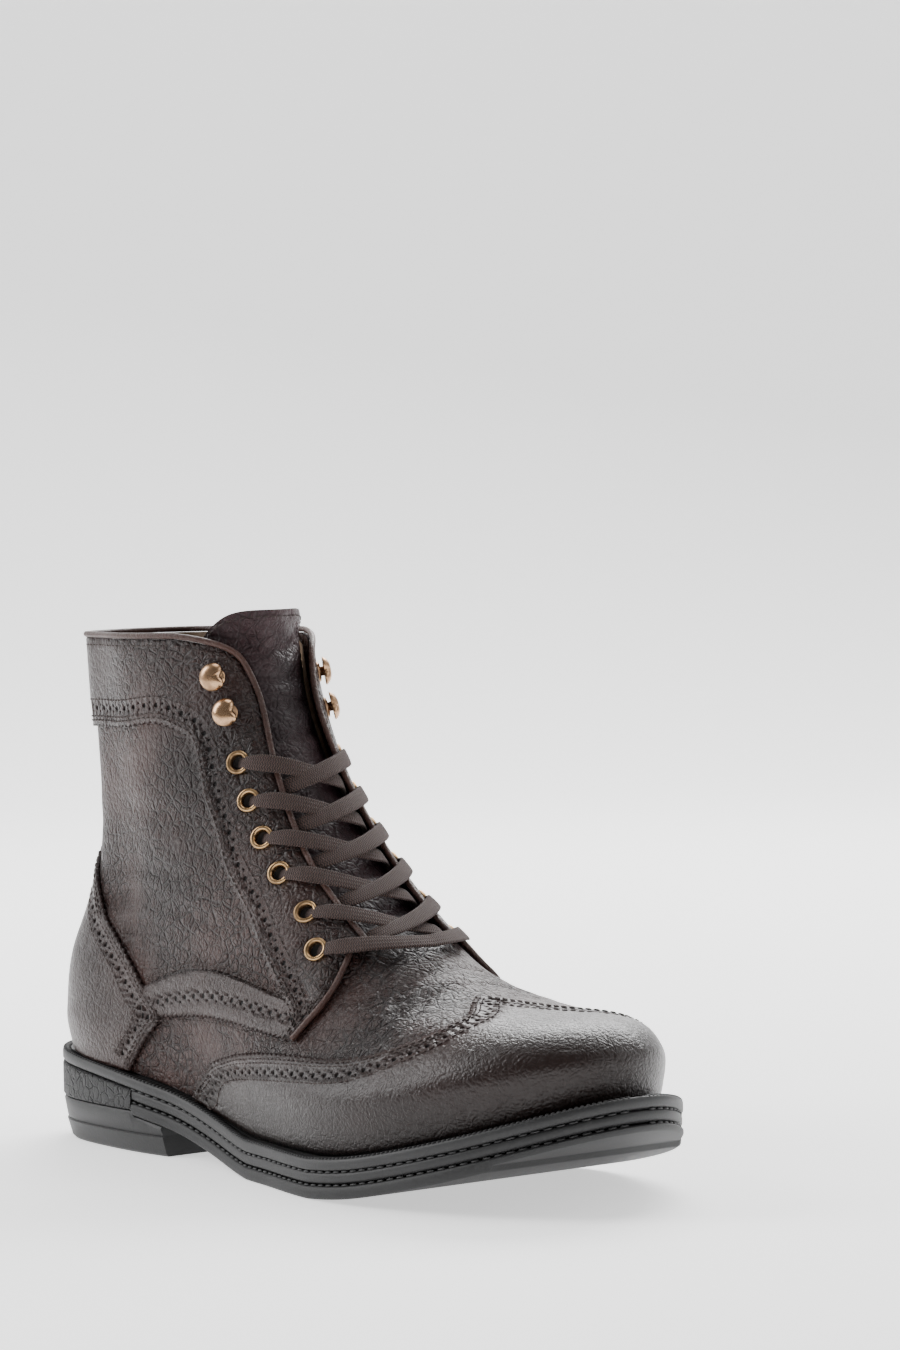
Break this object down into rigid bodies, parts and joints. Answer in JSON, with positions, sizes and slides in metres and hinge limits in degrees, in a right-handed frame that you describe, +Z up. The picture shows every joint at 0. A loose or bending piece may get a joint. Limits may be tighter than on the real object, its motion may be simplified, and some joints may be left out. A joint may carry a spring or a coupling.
{
  "type": "leather boot",
  "caption": "Brown brogue leather ankle boot for the right foot, with lacing, a zip on its inner side and a low rubber heel.",
  "frame": {"origin": "centre of the boot's footprint box, on the floor that it stands on", "axes": "+X points to the toe, +Y to the inner side of the foot, +Z up"},
  "size_m": [0.305, 0.1106, 0.1911],
  "materials": {
    "grained_leather": "pebbled grain, soft sheen",
    "cap_leather": "burnished, polished",
    "counter_leather": "smooth with fine creases",
    "strip_leather": "smooth, perforated",
    "facing_leather": "crinkled, glossy",
    "tongue_leather": "creased, satin",
    "piping_leather": "smooth, satin",
    "insole_leather": "matt",
    "welt_rubber": "matt",
    "sole_rubber": "matt",
    "outsole_rubber": "matt",
    "heel_band_rubber": "textured, matt",
    "heel_rubber": "satin",
    "lace_cotton": "woven, matt",
    "antique_brass": "aged, satin",
    "hook_brass": "aged, brushed",
    "zip_tape": "woven, matt",
    "zip_teeth": "satin",
    "slider_nickel": "polished nickel",
    "pull_nickel": "polished nickel"
  },
  "bodies": {
    "boot": {"welt": "welt_rubber", "midsole": "sole_rubber", "outsole": "outsole_rubber", "heel_band": "heel_band_rubber", "heel": "heel_rubber", "upper": "grained_leather", "insole": "insole_leather", "tongue": "tongue_leather", "facing_outer": "facing_leather", "facing_inner": "facing_leather", "counter": "counter_leather", "quarter_strip_outer": "strip_leather", "quarter_strip_inner": "strip_leather", "wing_cap": "cap_leather", "piping_outer": "piping_leather", "piping_inner": "piping_leather", "eyelet_outer_1": "antique_brass", "eyelet_outer_2": "antique_brass", "eyelet_outer_3": "antique_brass", "eyelet_outer_4": "antique_brass", "eyelet_outer_5": "antique_brass", "eyelet_outer_6": "antique_brass", "eyelet_inner_1": "antique_brass", "eyelet_inner_2": "antique_brass", "eyelet_inner_3": "antique_brass", "eyelet_inner_4": "antique_brass", "eyelet_inner_5": "antique_brass", "eyelet_inner_6": "antique_brass", "hook_outer_1": "hook_brass", "hook_outer_2": "hook_brass", "hook_inner_1": "hook_brass", "hook_inner_2": "hook_brass", "lace_cross_1": "lace_cotton", "lace_cross_2": "lace_cotton", "lace_cross_3": "lace_cotton", "lace_cross_4": "lace_cotton", "lace_cross_5": "lace_cotton", "lace_bar": "lace_cotton", "zip_tape": "zip_tape", "zip_teeth": "zip_teeth", "zip_slider": "slider_nickel"},
    "pull": {"zip_pull": "pull_nickel"}
  },
  "joints": [
    {"name": "pull_swing", "type": "hinge", "parent": "boot", "child": "pull", "pos_m": [-0.07975, 0.03446, 0.16974], "axis": [0.9929, -0.03, 0.1147], "range_deg": [0, 150]}
  ]
}
